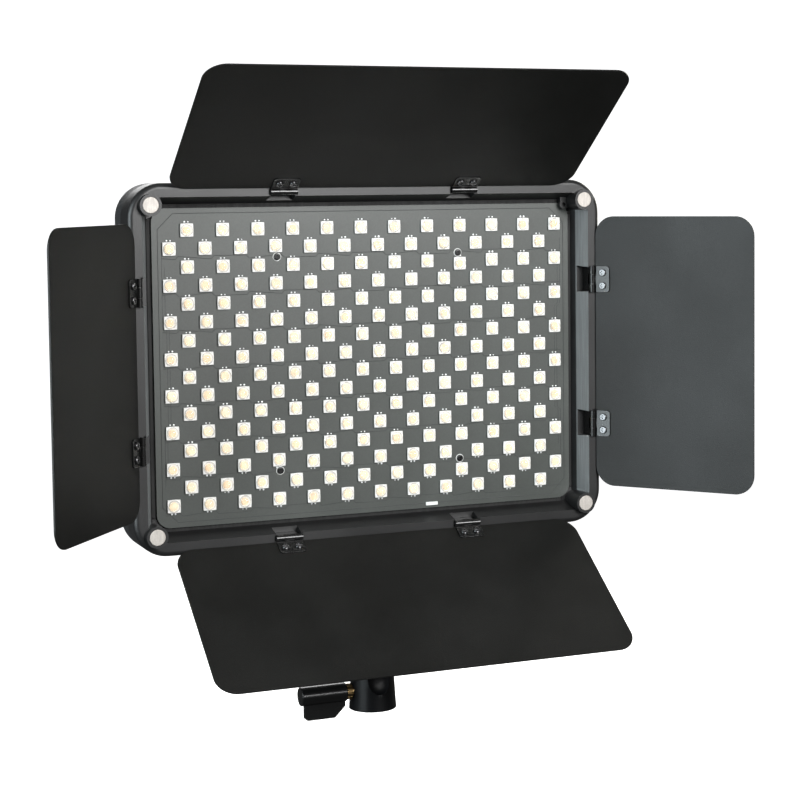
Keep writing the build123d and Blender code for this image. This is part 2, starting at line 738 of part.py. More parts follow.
def driver_components():
    """Coils, capacitors and chips of the LED driver."""
    front = circuit_back
    pieces = [rod(-44 + 16 * k, driver_z + 3, 4.0, front - 5.4, front) for k in range(3)]
    pieces += [block(10 + 17 * k, driver_z, 12, 12, front - 5.0, front) for k in range(3)]
    pieces += [block(-36 + 9 * k, driver_z - 9, 6, 5, front - 1.6, front) for k in range(4)]
    return pieces


def battery_contacts():
    """Blade contacts in the slots of both battery plates."""
    back = -rear_depth - plate_thickness
    return [block(s * plate_x + k * 6.0, plate_z + 27, 1.0, 9, back, back + 2.0)
            for s in (-1, 1) for k in (-1, 0, 1)]


def latch(s):
    """Spring latch of a battery plate, pressed in to free the battery."""
    back = -rear_depth - plate_thickness - 2.2
    wedge = block(s * plate_x, latch_z, latch_width, latch_height, back, inner_back - 0.4)
    return chamfer(front_edges(wedge, back).sort_by(Axis.Z)[-1], 1.6)


def at_places(piece, places, forward):
    """Copies of a piece on the panel, standing forward from this distance."""
    return [panel(forward) * Pos(x, z, 0) * piece for x, z in places]


def backwards(piece, places, forward):
    """Copies of a piece on the panel, turned to face the rear."""
    return [panel(forward) * Pos(x, z, 0) * Rot(180, 0, 0) * piece for x, z in places]


os.makedirs("parts", exist_ok=True)
post_screw = cross_screw(housing_screw_radius, rear_depth - housing_screw_seat + housing_screw_tip,
                         housing_screw_head, 2.2)
board_places = [(x * board_screw_x, z * board_screw_z) for x, z in corners]
led_spots = led_places()

save("front_bezel", front_bezel())
save("corner_magnets", *[rod(x, z, magnet_radius, post_reach - magnet_thickness, post_reach)
                         for x, z in posts])
save("led_board", led_board())
save("led_packages", *at_places(Pos(0, 0, led_height / 2) * Box(led_size, led_size, led_height),
                                led_spots, 0))
save("led_lenses", *at_places(led_lens(), led_spots, led_height))
save("board_screws", *at_places(cross_screw(1.5, board_thickness + sink_plate, board_screw_head, 1.2),
                                board_places, 0))
save("board_connector", block(38, -board_half_h + 2.6, 7.6, 2.0, 0, 1.0))
save("heat_sink", heat_sink())
save("sink_screws", *backwards(cross_screw(sink_screw_radius, sink_plate + sink_screw_bite - 0.5,
                                           sink_screw_head, 1.2),
                               sink_screw_places, -board_thickness - sink_plate))
save("rear_housing", rear_housing())
save("housing_screws", *backwards(post_screw, posts, -rear_depth + housing_screw_seat))
save("control_board", circuit_board(control_half, control_z, circuit_pillars[:4]))
save("driver_board", circuit_board(driver_half, driver_z, circuit_pillars[4:]))
save("driver_components", *driver_components())
save("circuit_screws", *at_places(cross_screw(circuit_screw_radius, circuit_thickness + 4.0, 2.2, 1.4),
                                  circuit_pillars, circuit_back + circuit_thickness))
save("display_window", block(0, display_z, display_width, display_height,
                             -rear_depth, -rear_depth + window_thickness))
save("display_module", block(0, display_z, display_width - 4, display_height - 4,
                             inner_back, circuit_back))
save("encoder_bodies", encoder(-1), encoder(1))
save("button_switches", *[block(s * button_x, button_z, 6, 6, inner_back + 2.4, circuit_back)
                          for s in (-1, 1)])
save("power_switch", power_switch())
save("power_rocker", rocker())
save("dc_jack", dc_jack())
save("battery_contacts", *battery_contacts())
plate_screw = cross_screw(circuit_screw_radius, plate_thickness - 1.6 + housing_wall, 2.2, 1.3)
save("plate_screws", *backwards(plate_screw, plate_screws, -rear_depth - plate_thickness + 1.6))
for name, s in (("left", 1), ("right", -1)):
    save(f"battery_plate_{name}", battery_plate(s))
    save(f"battery_latch_{name}", latch(s))
for name, s in (("brightness", 1), ("colour", -1)):
    save(f"{name}_knob", knob(s))
    save(f"{name}_shaft", knob_shaft(s))
for name, s in (("mode", 1), ("menu", -1)):
    save(f"{name}_button", button(s))
for name in SIDES:
    save(f"door_{name}", door_sheet_piece(name))
    save(f"door_{name}_leaves", *[hinge_plane(name, place, door_open[name]) * moving_leaf()
                                  for place in hinges(name)])
    save(f"door_{name}_fasteners", *door_fasteners(name))
save("fixed_leaves", *[hinge_plane(name, place) * fixed_leaf()
                       for name in SIDES for place in hinges(name)])
save("hinge_pins", *[hinge_plane(name, place) * Rot(90, 0, 0) * Cylinder(pin_radius, hinge_length)
                     for name in SIDES for place in hinges(name)])
save("stand_socket", stand_socket())
save("clamp_shoe", across(-clamp_tip - shoe_length, -clamp_tip, 0, clamp_z, clamp_radius))
save("clamp_screw", clamp_screw())
save("clamp_grip", clamp_grip())
save("tilt_yoke", tilt_yoke())
save("yoke_screws", *[yoke_screw(x, y) for x, y in yoke_screws])
save("backing_plate", backing_plate())
save("tilt_bolt", tilt_bolt())
save("friction_washers", *friction_washers())
save("tilt_lever", tilt_lever())
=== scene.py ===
import json
import logging
import math
from collections.abc import Sequence
from dataclasses import dataclass, field
from enum import Enum

import bmesh
import bpy
from mathutils import Matrix, Vector


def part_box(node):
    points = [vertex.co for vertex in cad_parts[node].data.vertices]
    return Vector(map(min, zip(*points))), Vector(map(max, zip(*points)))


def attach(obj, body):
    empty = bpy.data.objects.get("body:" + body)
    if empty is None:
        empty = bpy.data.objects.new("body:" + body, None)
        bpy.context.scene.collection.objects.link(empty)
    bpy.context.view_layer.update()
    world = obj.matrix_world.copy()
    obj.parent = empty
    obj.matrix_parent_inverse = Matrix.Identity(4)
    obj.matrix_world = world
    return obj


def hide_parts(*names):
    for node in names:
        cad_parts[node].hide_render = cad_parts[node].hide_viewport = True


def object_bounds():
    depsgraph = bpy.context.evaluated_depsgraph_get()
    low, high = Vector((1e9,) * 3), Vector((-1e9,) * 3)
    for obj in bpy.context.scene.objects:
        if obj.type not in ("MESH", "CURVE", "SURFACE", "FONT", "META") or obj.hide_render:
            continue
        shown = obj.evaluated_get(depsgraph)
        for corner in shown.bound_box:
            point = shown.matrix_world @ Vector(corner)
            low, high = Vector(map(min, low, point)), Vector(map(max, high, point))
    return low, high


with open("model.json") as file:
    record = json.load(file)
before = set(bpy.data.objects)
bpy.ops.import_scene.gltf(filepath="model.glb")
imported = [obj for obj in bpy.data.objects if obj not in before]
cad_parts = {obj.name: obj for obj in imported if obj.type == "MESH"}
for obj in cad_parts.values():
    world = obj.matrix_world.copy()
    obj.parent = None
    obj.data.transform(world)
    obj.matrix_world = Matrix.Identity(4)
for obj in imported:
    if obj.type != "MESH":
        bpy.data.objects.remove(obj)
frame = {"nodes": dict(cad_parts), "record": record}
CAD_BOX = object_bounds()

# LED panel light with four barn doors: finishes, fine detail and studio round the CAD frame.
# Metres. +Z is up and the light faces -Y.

log = logging.getLogger("panel_light")
NODES = frame["nodes"]
BODY_OF = {node: body for body, nodes in frame["record"]["behaviour"]["bodies"].items() for node in nodes}
SLOT_OF = {entry["node"]: entry["material_slot"] for entry in frame["record"]["subparts"]}
WELD = 2e-6
FINE_GRAIN = 1800.0
BLOT_SIZE = 30.0
BRUSH_ROUGHNESS = 0.14


class Texture(Enum):
    """How a surface was made, which sets the pattern of its finish."""

    MOULDED = "moulded"
    COATED = "coated"
    BRUSHED = "brushed"


def new_group(name: str, inputs: dict[str, tuple[str, object]], outputs: dict[str, str]) -> bpy.types.NodeTree:
    """Start a shader node group with named sockets.

    Args:
        name: Name of the group.
        inputs: Socket name to its type and default value.
        outputs: Socket name to its type.

    Returns:
        The group, with its input and output nodes named "in" and "out".
    """
    group = bpy.data.node_groups.new(name, "ShaderNodeTree")
    for label, (kind, value) in inputs.items():
        group.interface.new_socket(label, in_out="INPUT", socket_type=kind).default_value = value
    for label, kind in outputs.items():
        group.interface.new_socket(label, in_out="OUTPUT", socket_type=kind)
    group.nodes.new("NodeGroupInput").name = "in"
    group.nodes.new("NodeGroupOutput").name = "out"
    return group


class SurfaceGroups:
    """The shader node groups that the finishes share."""

    def __init__(self) -> None:
        """Build each group once."""
        self.grain = self._grain()
        self.brush = self._brush()
        self.handling = self._handling()

    @staticmethod
    def _noise(group: bpy.types.NodeTree, scale: float, detail: float) -> bpy.types.Node:
        """Add a noise texture on object coordinates.

        Args:
            group: Group that gets the nodes.
            scale: Scale multiplied with the vector.
            detail: Octaves of the noise.

        Returns:
            The noise node.
        """
        noise = group.nodes.new("ShaderNodeTexNoise")
        noise.inputs["Scale"].default_value = scale
        noise.inputs["Detail"].default_value = detail
        coords = group.nodes.new("ShaderNodeTexCoord")
        group.links.new(coords.outputs["Object"], noise.inputs["Vector"])
        return noise

    @staticmethod
    def _map(group: bpy.types.NodeTree, source: bpy.types.NodeSocket, low: object,
             high: object) -> bpy.types.NodeSocket:
        """Stretch a 0.3 to 0.7 noise value over a range.

        Args:
            group: Group that gets the node.
            source: Value to map.
            low: Socket or number for the low end.
            high: Socket or number for the high end.

        Returns:
            The mapped value.
        """
        node = group.nodes.new("ShaderNodeMapRange")
        node.inputs["From Min"].default_value = 0.3
        node.inputs["From Max"].default_value = 0.7
        group.links.new(source, node.inputs["Value"])
        for label, value in (("To Min", low), ("To Max", high)):
            if isinstance(value, (int, float)):
                node.inputs[label].default_value = value
            else:
                group.links.new(value, node.inputs[label])
        return node.outputs["Result"]

    @staticmethod
    def value(group: bpy.types.NodeTree, kind: str, *terms: object) -> bpy.types.NodeSocket:
        """Add a math node.

        Args:
            group: Group that gets the node.
            kind: Its operation.
            terms: Socket or number for each input.

        Returns:
            The node's result.
        """
        node = group.nodes.new("ShaderNodeMath")
        node.operation = kind
        for slot, term in zip(node.inputs, terms):
            if isinstance(term, (int, float)):
                slot.default_value = term
            else:
                group.links.new(term, slot)
        return node.outputs[0]

    def _grain(self) -> bpy.types.NodeTree:
        """Moulded or powder-coated grain: colour, roughness and height."""
        group = new_group("surface_grain", {
            "Colour": ("NodeSocketColor", (0.5, 0.5, 0.5, 1)), "Variation": ("NodeSocketFloat", 0.15),
            "Roughness": ("NodeSocketFloat", 0.5), "Spread": ("NodeSocketFloat", 0.05),
            "Grain Scale": ("NodeSocketFloat", 1.0)},
            {"Colour": "NodeSocketColor", "Roughness": "NodeSocketFloat", "Height": "NodeSocketFloat"})
        given, out, link = group.nodes["in"], group.nodes["out"], group.links.new
        fine = self._noise(group, FINE_GRAIN, 2.0)
        broad = self._noise(group, 14.0, 3.0)
        link(self.value(group, "MULTIPLY", given.outputs["Grain Scale"], FINE_GRAIN), fine.inputs["Scale"])
        low = self.value(group, "SUBTRACT", 1.0, given.outputs["Variation"])
        high = self.value(group, "ADD", 1.0, given.outputs["Variation"])
        shade = self._map(group, broad.outputs["Fac"], low, high)
        speck = self._map(group, fine.outputs["Fac"], low, high)
        tint = group.nodes.new("ShaderNodeVectorMath")
        tint.operation = "SCALE"
        link(given.outputs["Colour"], tint.inputs[0])
        link(self.value(group, "MULTIPLY", shade, speck), tint.inputs["Scale"])
        link(tint.outputs[0], out.inputs["Colour"])
        wave = self._map(group, broad.outputs["Fac"], -1.0, 1.0)
        rough = self.value(group, "MULTIPLY_ADD", wave, given.outputs["Spread"], given.outputs["Roughness"])
        link(rough, out.inputs["Roughness"])
        link(fine.outputs["Fac"], out.inputs["Height"])
        return group

    def _brush(self) -> bpy.types.NodeTree:
        """Fine brushed lines: a mask and a height."""
        group = new_group("brushed_lines", {"Density": ("NodeSocketFloat", 900.0),
                                            "Stretch": ("NodeSocketVector", (1.0, 1.0, 0.05))},
                          {"Mask": "NodeSocketFloat", "Height": "NodeSocketFloat"})
        given, out, link = group.nodes["in"], group.nodes["out"], group.links.new
        coords = group.nodes.new("ShaderNodeTexCoord")
        stretch = group.nodes.new("ShaderNodeVectorMath")
        stretch.operation = "MULTIPLY"
        link(coords.outputs["Object"], stretch.inputs[0])
        link(given.outputs["Stretch"], stretch.inputs[1])
        noise = group.nodes.new("ShaderNodeTexNoise")
        noise.inputs["Detail"].default_value = 4.0
        link(stretch.outputs[0], noise.inputs["Vector"])
        link(given.outputs["Density"], noise.inputs["Scale"])
        link(self._map(group, noise.outputs["Fac"], 0.0, 1.0), out.inputs["Mask"])
        link(noise.outputs["Fac"], out.inputs["Height"])
        return group

    def _handling(self) -> bpy.types.NodeTree:
        """Faint smudges and dust from handling, as a mask."""
        group = new_group("handling_marks",
                          {"Amount": ("NodeSocketFloat", 0.2), "Size": ("NodeSocketFloat", 1.0)},
                          {"Mask": "NodeSocketFloat"})
        given, out, link = group.nodes["in"], group.nodes["out"], group.links.new
        blot, dust = self._noise(group, BLOT_SIZE, 5.0), self._noise(group, 700.0, 1.0)
        link(self.value(group, "MULTIPLY", given.outputs["Size"], BLOT_SIZE), blot.inputs["Scale"])
        both = self.value(group, "MULTIPLY", self._map(group, blot.outputs["Fac"], 0.0, 1.0),
                           self._map(group, dust.outputs["Fac"], 0.4, 1.0))
        link(self.value(group, "MULTIPLY", both, given.outputs["Amount"]), out.inputs["Mask"])
        return group


@dataclass(frozen=True)
class Finish:
    """One surface finish and the values of its pattern."""

    name: str
    colour: tuple[float, float, float]
    roughness: float = 0.5
    metallic: float = 0.0
    texture: Texture = Texture.MOULDED
    variation: float = 0.12
    spread: float = 0.05
    grain: float = 1.0
    bump: float = 0.12
    smudge: float = 0.12
    smudge_colour: tuple[float, float, float] = (0.16, 0.16, 0.155)
    coat: float = 0.0
    transmission: float = 0.0
    ior: float = 1.5
    stretch: tuple[float, float, float] = (1.0, 1.0, 0.05)
    glow: float = 0.0

    def build(self, groups: SurfaceGroups) -> bpy.types.Material:
        """Make the material.

        Args:
            groups: The shared node groups.

        Returns:
            The finished material.
        """
        material = bpy.data.materials.new(self.name)
        material.use_nodes = True
        tree = material.node_tree
        link, shader = tree.links.new, tree.nodes["Principled BSDF"]
        shader.inputs["Metallic"].default_value = self.metallic
        shader.inputs["Coat Weight"].default_value = self.coat
        shader.inputs["Coat Roughness"].default_value = 0.12
        shader.inputs["Transmission Weight"].default_value = self.transmission
        shader.inputs["IOR"].default_value = self.ior
        grain = tree.nodes.new("ShaderNodeGroup")
        grain.node_tree = groups.grain
        for label, value in (("Colour", (*self.colour, 1)), ("Variation", self.variation),
                             ("Spread", self.spread), ("Roughness", self.roughness),
                             ("Grain Scale", self.grain)):
            grain.inputs[label].default_value = value
        height = grain.outputs["Height"]
        marks = tree.nodes.new("ShaderNodeGroup")
        marks.node_tree = groups.handling
        marks.inputs["Amount"].default_value = self.smudge
        blend = tree.nodes.new("ShaderNodeMix")
        blend.data_type = "RGBA"
        blend.inputs["B"].default_value = (*self.smudge_colour, 1)
        link(marks.outputs["Mask"], blend.inputs["Factor"])
        link(grain.outputs["Colour"], blend.inputs["A"])
        colour, rough = blend.outputs["Result"], grain.outputs["Roughness"]
        if self.texture is Texture.BRUSHED:
            lines = tree.nodes.new("ShaderNodeGroup")
            lines.node_tree = groups.brush
            lines.inputs["Stretch"].default_value = self.stretch
            tone = tree.nodes.new("ShaderNodeMix")
            tone.data_type = "RGBA"
            tone.inputs["B"].default_value = (*(0.78 * c for c in self.colour), 1)
            link(lines.outputs["Mask"], tone.inputs["Factor"])
            link(colour, tone.inputs["A"])
            colour, height = tone.outputs["Result"], lines.outputs["Height"]
            rough = groups.value(tree, "MULTIPLY_ADD", lines.outputs["Mask"], BRUSH_ROUGHNESS, rough)
        bump = tree.nodes.new("ShaderNodeBump")
        bump.inputs["Strength"].default_value = self.bump
        bump.inputs["Distance"].default_value = 0.0003 if self.texture is Texture.COATED else 0.00015
        link(height, bump.inputs["Height"])
        link(bump.outputs["Normal"], shader.inputs["Normal"])
        link(colour, shader.inputs["Base Color"])
        link(rough, shader.inputs["Roughness"])
        if self.glow:
            link(colour, shader.inputs["Emission Color"])
            shader.inputs["Emission Strength"].default_value = self.glow
        return material


@dataclass(frozen=True)
class PhosphorFinish:
    """Warm phosphor whose tint changes from one LED to the next."""

    name: str = "phosphor"
    warm: tuple[float, float, float] = (0.84, 0.53, 0.24)
    cool: tuple[float, float, float] = (0.86, 0.73, 0.48)

    def build(self, groups: SurfaceGroups) -> bpy.types.Material:
        """Make the material, which reads the "shade" value of each LED.

        Args:
            groups: The shared node groups.

        Returns:
            The finished material.
        """
        material = bpy.data.materials.new(self.name)
        material.use_nodes = True
        tree = material.node_tree
        link, shader = tree.links.new, tree.nodes["Principled BSDF"]
        shade = tree.nodes.new("ShaderNodeAttribute")
        shade.attribute_name = "shade"
        tint = tree.nodes.new("ShaderNodeMix")
        tint.data_type = "RGBA"
        tint.inputs["A"].default_value = (*self.warm, 1)
        tint.inputs["B"].default_value = (*self.cool, 1)
        link(shade.outputs["Fac"], tint.inputs["Factor"])
        grain = tree.nodes.new("ShaderNodeGroup")
        grain.node_tree = groups.grain
        grain.inputs["Variation"].default_value = 0.06
        link(tint.outputs["Result"], grain.inputs["Colour"])
        link(grain.outputs["Colour"], shader.inputs["Base Color"])
        link(grain.outputs["Roughness"], shader.inputs["Roughness"])
        return material


FINISHES = (
    Finish("door_metal", (0.0044, 0.0044, 0.0038), 0.43, texture=Texture.COATED, grain=1.4, bump=0.35, smudge=0.03,
           ior=1.42),
    Finish("bezel_plastic", (0.010, 0.010, 0.0103), 0.38, grain=1.2, bump=0.1, smudge=0.04),
    # Brushed satin of the upright inner bezel slopes: its light grey is partly painted sheen.
    Finish("bezel_satin_painted_sheen", (0.22, 0.232, 0.235), 0.42, 0.35, Texture.BRUSHED, variation=0.06, bump=0.1, smudge=0.03),
    Finish("housing_plastic", (0.026, 0.026, 0.027), 0.55, texture=Texture.COATED, grain=1.0, bump=0.4, smudge=0.05),
    Finish("hinge_black", (0.004, 0.004, 0.004), 0.22, variation=0.05, bump=0.03, smudge=0.02, ior=1.55),
    Finish("door_screw", (0.17, 0.17, 0.175), 0.22, 1.0, variation=0.1, bump=0.05, smudge=0.03),
    Finish("magnet_nickel", (0.52, 0.485, 0.445), 0.46, 0.35, Texture.BRUSHED, bump=0.05, smudge=0.05,
           smudge_colour=(0.5, 0.45, 0.4), stretch=(1.0, 1.0, 0.2)),
    Finish("board_mask", (0.053, 0.059, 0.054), 0.39, variation=0.07, grain=0.6, bump=0.06, smudge=0.05),
    Finish("trace_mask", (0.030, 0.033, 0.032), 0.42, variation=0.1, bump=0.05, smudge=0.02),
    Finish("led_white", (0.80, 0.795, 0.775), 0.45, variation=0.04, bump=0.05, smudge=0.03,
           smudge_colour=(0.6, 0.59, 0.56)),
    # Dark colour of the feet under the LED packages: painted shade along each package's side.
    Finish("led_base_painted_shade", (0.05, 0.045, 0.04), 0.4, variation=0.1),
    Finish("led_clear", (0.95, 0.935, 0.90), 0.08, variation=0.01, spread=0.01, bump=0.0, smudge=0.0,
           transmission=0.80, ior=1.28),
    Finish("solder_pad", (0.75, 0.77, 0.77), 0.35, 0.6, variation=0.08, bump=0.1, smudge=0.04),
    Finish("silk_ring", (0.78, 0.8, 0.78), 0.6, variation=0.06, bump=0.05, smudge=0.05),
    Finish("black_screw", (0.09, 0.09, 0.095), 0.26, 0.9, variation=0.1, bump=0.06, smudge=0.05),
    Finish("connector_white", (0.82, 0.85, 0.82), 0.4, variation=0.05, smudge=0.05, smudge_colour=(0.6, 0.6, 0.55)),
    Finish("sink_black", (0.014, 0.014, 0.014), 0.6, 0.4, Texture.BRUSHED, smudge=0.06),
    Finish("steel_screw", (0.55, 0.55, 0.56), 0.3, 1.0, Texture.BRUSHED, bump=0.05, smudge=0.05),
    Finish("circuit_green", (0.02, 0.12, 0.05), 0.4, variation=0.12, smudge=0.05),
    Finish("component_black", (0.02, 0.02, 0.02), 0.45, variation=0.1),
    Finish("window_glass", (0.014, 0.016, 0.02), 0.08, variation=0.03, spread=0.02, bump=0.01, smudge=0.06, coat=0.6),
    Finish("display_panel", (0.06, 0.09, 0.12), 0.2, variation=0.05),
    Finish("steel_case", (0.55, 0.55, 0.57), 0.34, 1.0, Texture.BRUSHED, bump=0.06, smudge=0.06),
    Finish("switch_plastic", (0.018, 0.018, 0.018), 0.46, bump=0.12, smudge=0.05),
    Finish("jack_metal", (0.62, 0.56, 0.44), 0.28, 1.0, Texture.BRUSHED, bump=0.04),
    Finish("contact_gold", (0.83, 0.62, 0.28), 0.2, 1.0, Texture.BRUSHED, bump=0.04),
    Finish("pin_steel", (0.45, 0.45, 0.46), 0.24, 1.0, Texture.BRUSHED, bump=0.04),
    Finish("yoke_metal", (0.018, 0.018, 0.019), 0.42, 0.2, Texture.COATED, bump=0.3, smudge=0.05),
    Finish("washer_nylon", (0.7, 0.7, 0.66), 0.5, variation=0.06),
    Finish("grip_plastic", (0.007, 0.007, 0.007), 0.28, bump=0.08, smudge=0.02, ior=1.38),
    Finish("socket_plastic", (0.0032, 0.0034, 0.004), 0.36, bump=0.08, smudge=0.01, ior=1.26),
    Finish("clamp_brass", (0.19, 0.13, 0.06), 0.36, 1.0, Texture.BRUSHED, variation=0.2, bump=0.08, smudge=0.3,
           smudge_colour=(0.1, 0.07, 0.03)),
    Finish("rocker_plastic", (0.015, 0.015, 0.015), 0.22, bump=0.05, coat=0.3),
    Finish("knob_plastic", (0.018, 0.018, 0.018), 0.42, bump=0.15, smudge=0.08),
    Finish("button_rubber", (0.03, 0.03, 0.031), 0.7, bump=0.2, smudge=0.1),
)


class Workshop:
    """Makes materials, copies of frame parts and meshes, and hands pieces to the frame."""

    def __init__(self) -> None:
        """Build every finish."""
        self.groups = SurfaceGroups()
        self.materials = {finish.name: finish.build(self.groups) for finish in FINISHES}
        self.materials["phosphor"] = PhosphorFinish().build(self.groups)

    def show(self, piece: bpy.types.Object, body: str, slot: str,
             replaced: tuple[str, ...] = ()) -> bpy.types.Object:
        """Let a piece ride on its body.

        Args:
            piece: The finished piece.
            body: Body that it moves with.
            slot: The record's material slot; not used.
            replaced: Frame nodes that it stands for.

        Returns:
            The piece.
        """
        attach(piece, body)
        if replaced:
            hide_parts(*replaced)
        log.info("piece %s rides on %s", piece.name, body)
        return piece

    def dress(self, *nodes: str, finish: str = "") -> None:
        """Give frame nodes a finish.

        Args:
            nodes: The frame nodes.
            finish: Name of the finish, or nothing for that of their slot.
        """
        for node in nodes:
            mesh = NODES[node].data
            mesh.materials.clear()
            mesh.materials.append(self.materials[finish or SLOT_OF[node]])
            log.info("node %s keeps its shape", node)

    def new_piece(self, name: str, mesh: bpy.types.Mesh, finish: str) -> bpy.types.Object:
        """An object for a mesh, with one finish.

        Args:
            name: Name of the piece.
            mesh: Its mesh.
            finish: Name of its finish.

        Returns:
            The object, linked to the scene.
        """
        piece = bpy.data.objects.new(name, mesh)
        bpy.context.scene.collection.objects.link(piece)
        mesh.materials.clear()
        mesh.materials.append(self.materials[finish])
        return piece

    @staticmethod
    def merged(node: str) -> bmesh.types.BMesh:
        """A frame node's shape as one welded mesh with whole flat faces.

        Args:
            node: The frame node.

        Returns:
            The welded copy.
        """
        work = bmesh.new()
        work.from_mesh(NODES[node].data)
        bmesh.ops.remove_doubles(work, verts=work.verts, dist=WELD)
        bmesh.ops.dissolve_limit(work, angle_limit=0.012, verts=work.verts, edges=work.edges)
        return work

    def softened(self, node: str, width: float, angle: float = 40.0) -> bpy.types.Object:
        """Replace a frame node by a copy whose sharp edges are rounded.

        Args:
            node: The frame node.
            width: Width of the rounding in metres.
            angle: Least angle of a rounded edge in degrees.

        Returns:
            The piece.
        """
        work = self.merged(node)
        mesh = bpy.data.meshes.new(f"{node}_soft")
        work.to_mesh(mesh)
        work.free()
        piece = bpy.data.objects.new(f"{node}_soft", mesh)
        bpy.context.scene.collection.objects.link(piece)
        bevel = piece.modifiers.new("edges", "BEVEL")
        bevel.width, bevel.segments, bevel.limit_method = width, 2, "ANGLE"
        bevel.angle_limit, bevel.use_clamp_overlap = math.radians(angle), True
        mesh.shade_smooth()
        weighted = piece.modifiers.new("shading", "WEIGHTED_NORMAL")
        weighted.mode, weighted.weight, weighted.thresh = "FACE_AREA", 100, 0.01
        made = self.applied(piece)
        made.materials.append(self.materials[SLOT_OF[node]])
        return self.show(piece, BODY_OF[node], SLOT_OF[node], (node,))

    @staticmethod
    def applied(piece: bpy.types.Object) -> bpy.types.Mesh:
        """Turn a piece's modifiers into its own plain mesh.

        Args:
            piece: Object with modifiers.

        Returns:
            The new mesh.
        """
        bpy.context.view_layer.update()
        evaluated = piece.evaluated_get(bpy.context.evaluated_depsgraph_get())
        mesh = bpy.data.meshes.new_from_object(evaluated)
        piece.modifiers.clear()
        piece.data = mesh
        return mesh

    @staticmethod
    def islands(node: str) -> list[tuple[Vector, Vector]]:
        """The separate solids of a frame node.

        Args:
            node: The frame node.

        Returns:
            Lowest and highest corner of each solid.
        """
        work = bmesh.new()
        work.from_mesh(NODES[node].data)
        bmesh.ops.remove_doubles(work, verts=work.verts, dist=WELD)
        seen: set[int] = set()
        found = []
        for start in work.verts:
            if start.index in seen:
                continue
            seen.add(start.index)
            stack, group = [start], []
            while stack:
                vert = stack.pop()
                group.append(vert.co.copy())
                for edge in vert.link_edges:
                    other = edge.other_vert(vert)
                    if other.index not in seen:
                        seen.add(other.index)
                        stack.append(other)
            found.append((Vector(map(min, *group)), Vector(map(max, *group))))
        work.free()
        return found


def end_tree(tree: bpy.types.NodeTree, result: bpy.types.NodeSocket, finish: bpy.types.NodeSocket) -> None:
    """Make a geometry tree's result real and give it its finish.

    Args:
        tree: The tree.
        result: Geometry that it made.
        finish: The material input.
    """
    new, link = tree.nodes.new, tree.links.new
    real, dress, out = new("GeometryNodeRealizeInstances"), new("GeometryNodeSetMaterial"), new("NodeGroupOutput")
    link(result, real.inputs[0])
    link(real.outputs[0], dress.inputs["Geometry"])
    link(finish, dress.inputs["Material"])
    link(dress.outputs[0], out.inputs[0])


@dataclass
class ScatterTree:
    """Geometry Nodes tree that sets a piece on every point of a mesh."""

    name: str = "scatter"
    tree: bpy.types.NodeTree = field(init=False)

    def __post_init__(self) -> None:
        """Build the tree with its named inputs."""
        self.tree = bpy.data.node_groups.new(self.name, "GeometryNodeTree")
        socket, new, link = self.tree.interface.new_socket, self.tree.nodes.new, self.tree.links.new
        socket("Geometry", in_out="OUTPUT", socket_type="NodeSocketGeometry")
        for label, kind in (("Geometry", "NodeSocketGeometry"), ("Piece", "NodeSocketObject"),
                            ("Size", "NodeSocketFloat"), ("Size Spread", "NodeSocketFloat"),
                            ("Turn", "NodeSocketFloat"), ("Seed", "NodeSocketInt"),
                            ("Finish", "NodeSocketMaterial")):
            socket(label, in_out="INPUT", socket_type=kind)
        given = new("NodeGroupInput").outputs
        info, place = new("GeometryNodeObjectInfo"), new("GeometryNodeInstanceOnPoints")
        link(given["Piece"], info.inputs["Object"])
        sizes, turns, shade = (new("FunctionNodeRandomValue") for _ in range(3))
        low, high, back = (new("ShaderNodeMath") for _ in range(3))
        low.operation, high.operation, back.operation = "SUBTRACT", "ADD", "MULTIPLY"
        back.inputs[1].default_value = -1.0
        for node in (low, high):
            link(given["Size"], node.inputs[0])
            link(given["Size Spread"], node.inputs[1])
        link(low.outputs[0], sizes.inputs[2])
        link(high.outputs[0], sizes.inputs[3])
        link(given["Turn"], back.inputs[0])
        link(back.outputs[0], turns.inputs[2])
        link(given["Turn"], turns.inputs[3])
        for node in (sizes, turns, shade):
            link(given["Seed"], node.inputs["Seed"])
        turn = new("ShaderNodeCombineXYZ")
        link(turns.outputs[1], turn.inputs["Y"])
        link(given["Geometry"], place.inputs["Points"])
        link(info.outputs["Geometry"], place.inputs["Instance"])
        link(turn.outputs[0], place.inputs["Rotation"])
        link(sizes.outputs[1], place.inputs["Scale"])
        store = new("GeometryNodeStoreNamedAttribute")
        store.data_type, store.domain = "FLOAT", "INSTANCE"
        store.inputs["Name"].default_value = "shade"
        link(shade.outputs[1], store.inputs["Value"])
        link(place.outputs[0], store.inputs["Geometry"])
        end_tree(self.tree, store.outputs[0], given["Finish"])


@dataclass
class PathTree:
    """Geometry Nodes tree that lays a thin half-sunk line along every edge of a mesh."""

    name: str = "lines"
    tree: bpy.types.NodeTree = field(init=False)

    def __post_init__(self) -> None:
        """Build the tree with its named inputs."""
        self.tree = bpy.data.node_groups.new(self.name, "GeometryNodeTree")
        socket, new, link = self.tree.interface.new_socket, self.tree.nodes.new, self.tree.links.new
        socket("Geometry", in_out="OUTPUT", socket_type="NodeSocketGeometry")
        for label, kind in (("Geometry", "NodeSocketGeometry"), ("Radius", "NodeSocketFloat"),
                            ("Sides", "NodeSocketInt"), ("Finish", "NodeSocketMaterial")):
            socket(label, in_out="INPUT", socket_type=kind)
        given = new("NodeGroupInput").outputs
        curve, ring = new("GeometryNodeMeshToCurve"), new("GeometryNodeCurvePrimitiveCircle")
        sweep = new("GeometryNodeCurveToMesh")
        link(given["Geometry"], curve.inputs["Mesh"])
        link(given["Radius"], ring.inputs["Radius"])
        link(given["Sides"], ring.inputs["Resolution"])
        link(curve.outputs[0], sweep.inputs["Curve"])
        link(ring.outputs[0], sweep.inputs["Profile Curve"])
        sweep.inputs["Fill Caps"].default_value = True
        end_tree(self.tree, sweep.outputs[0], given["Finish"])


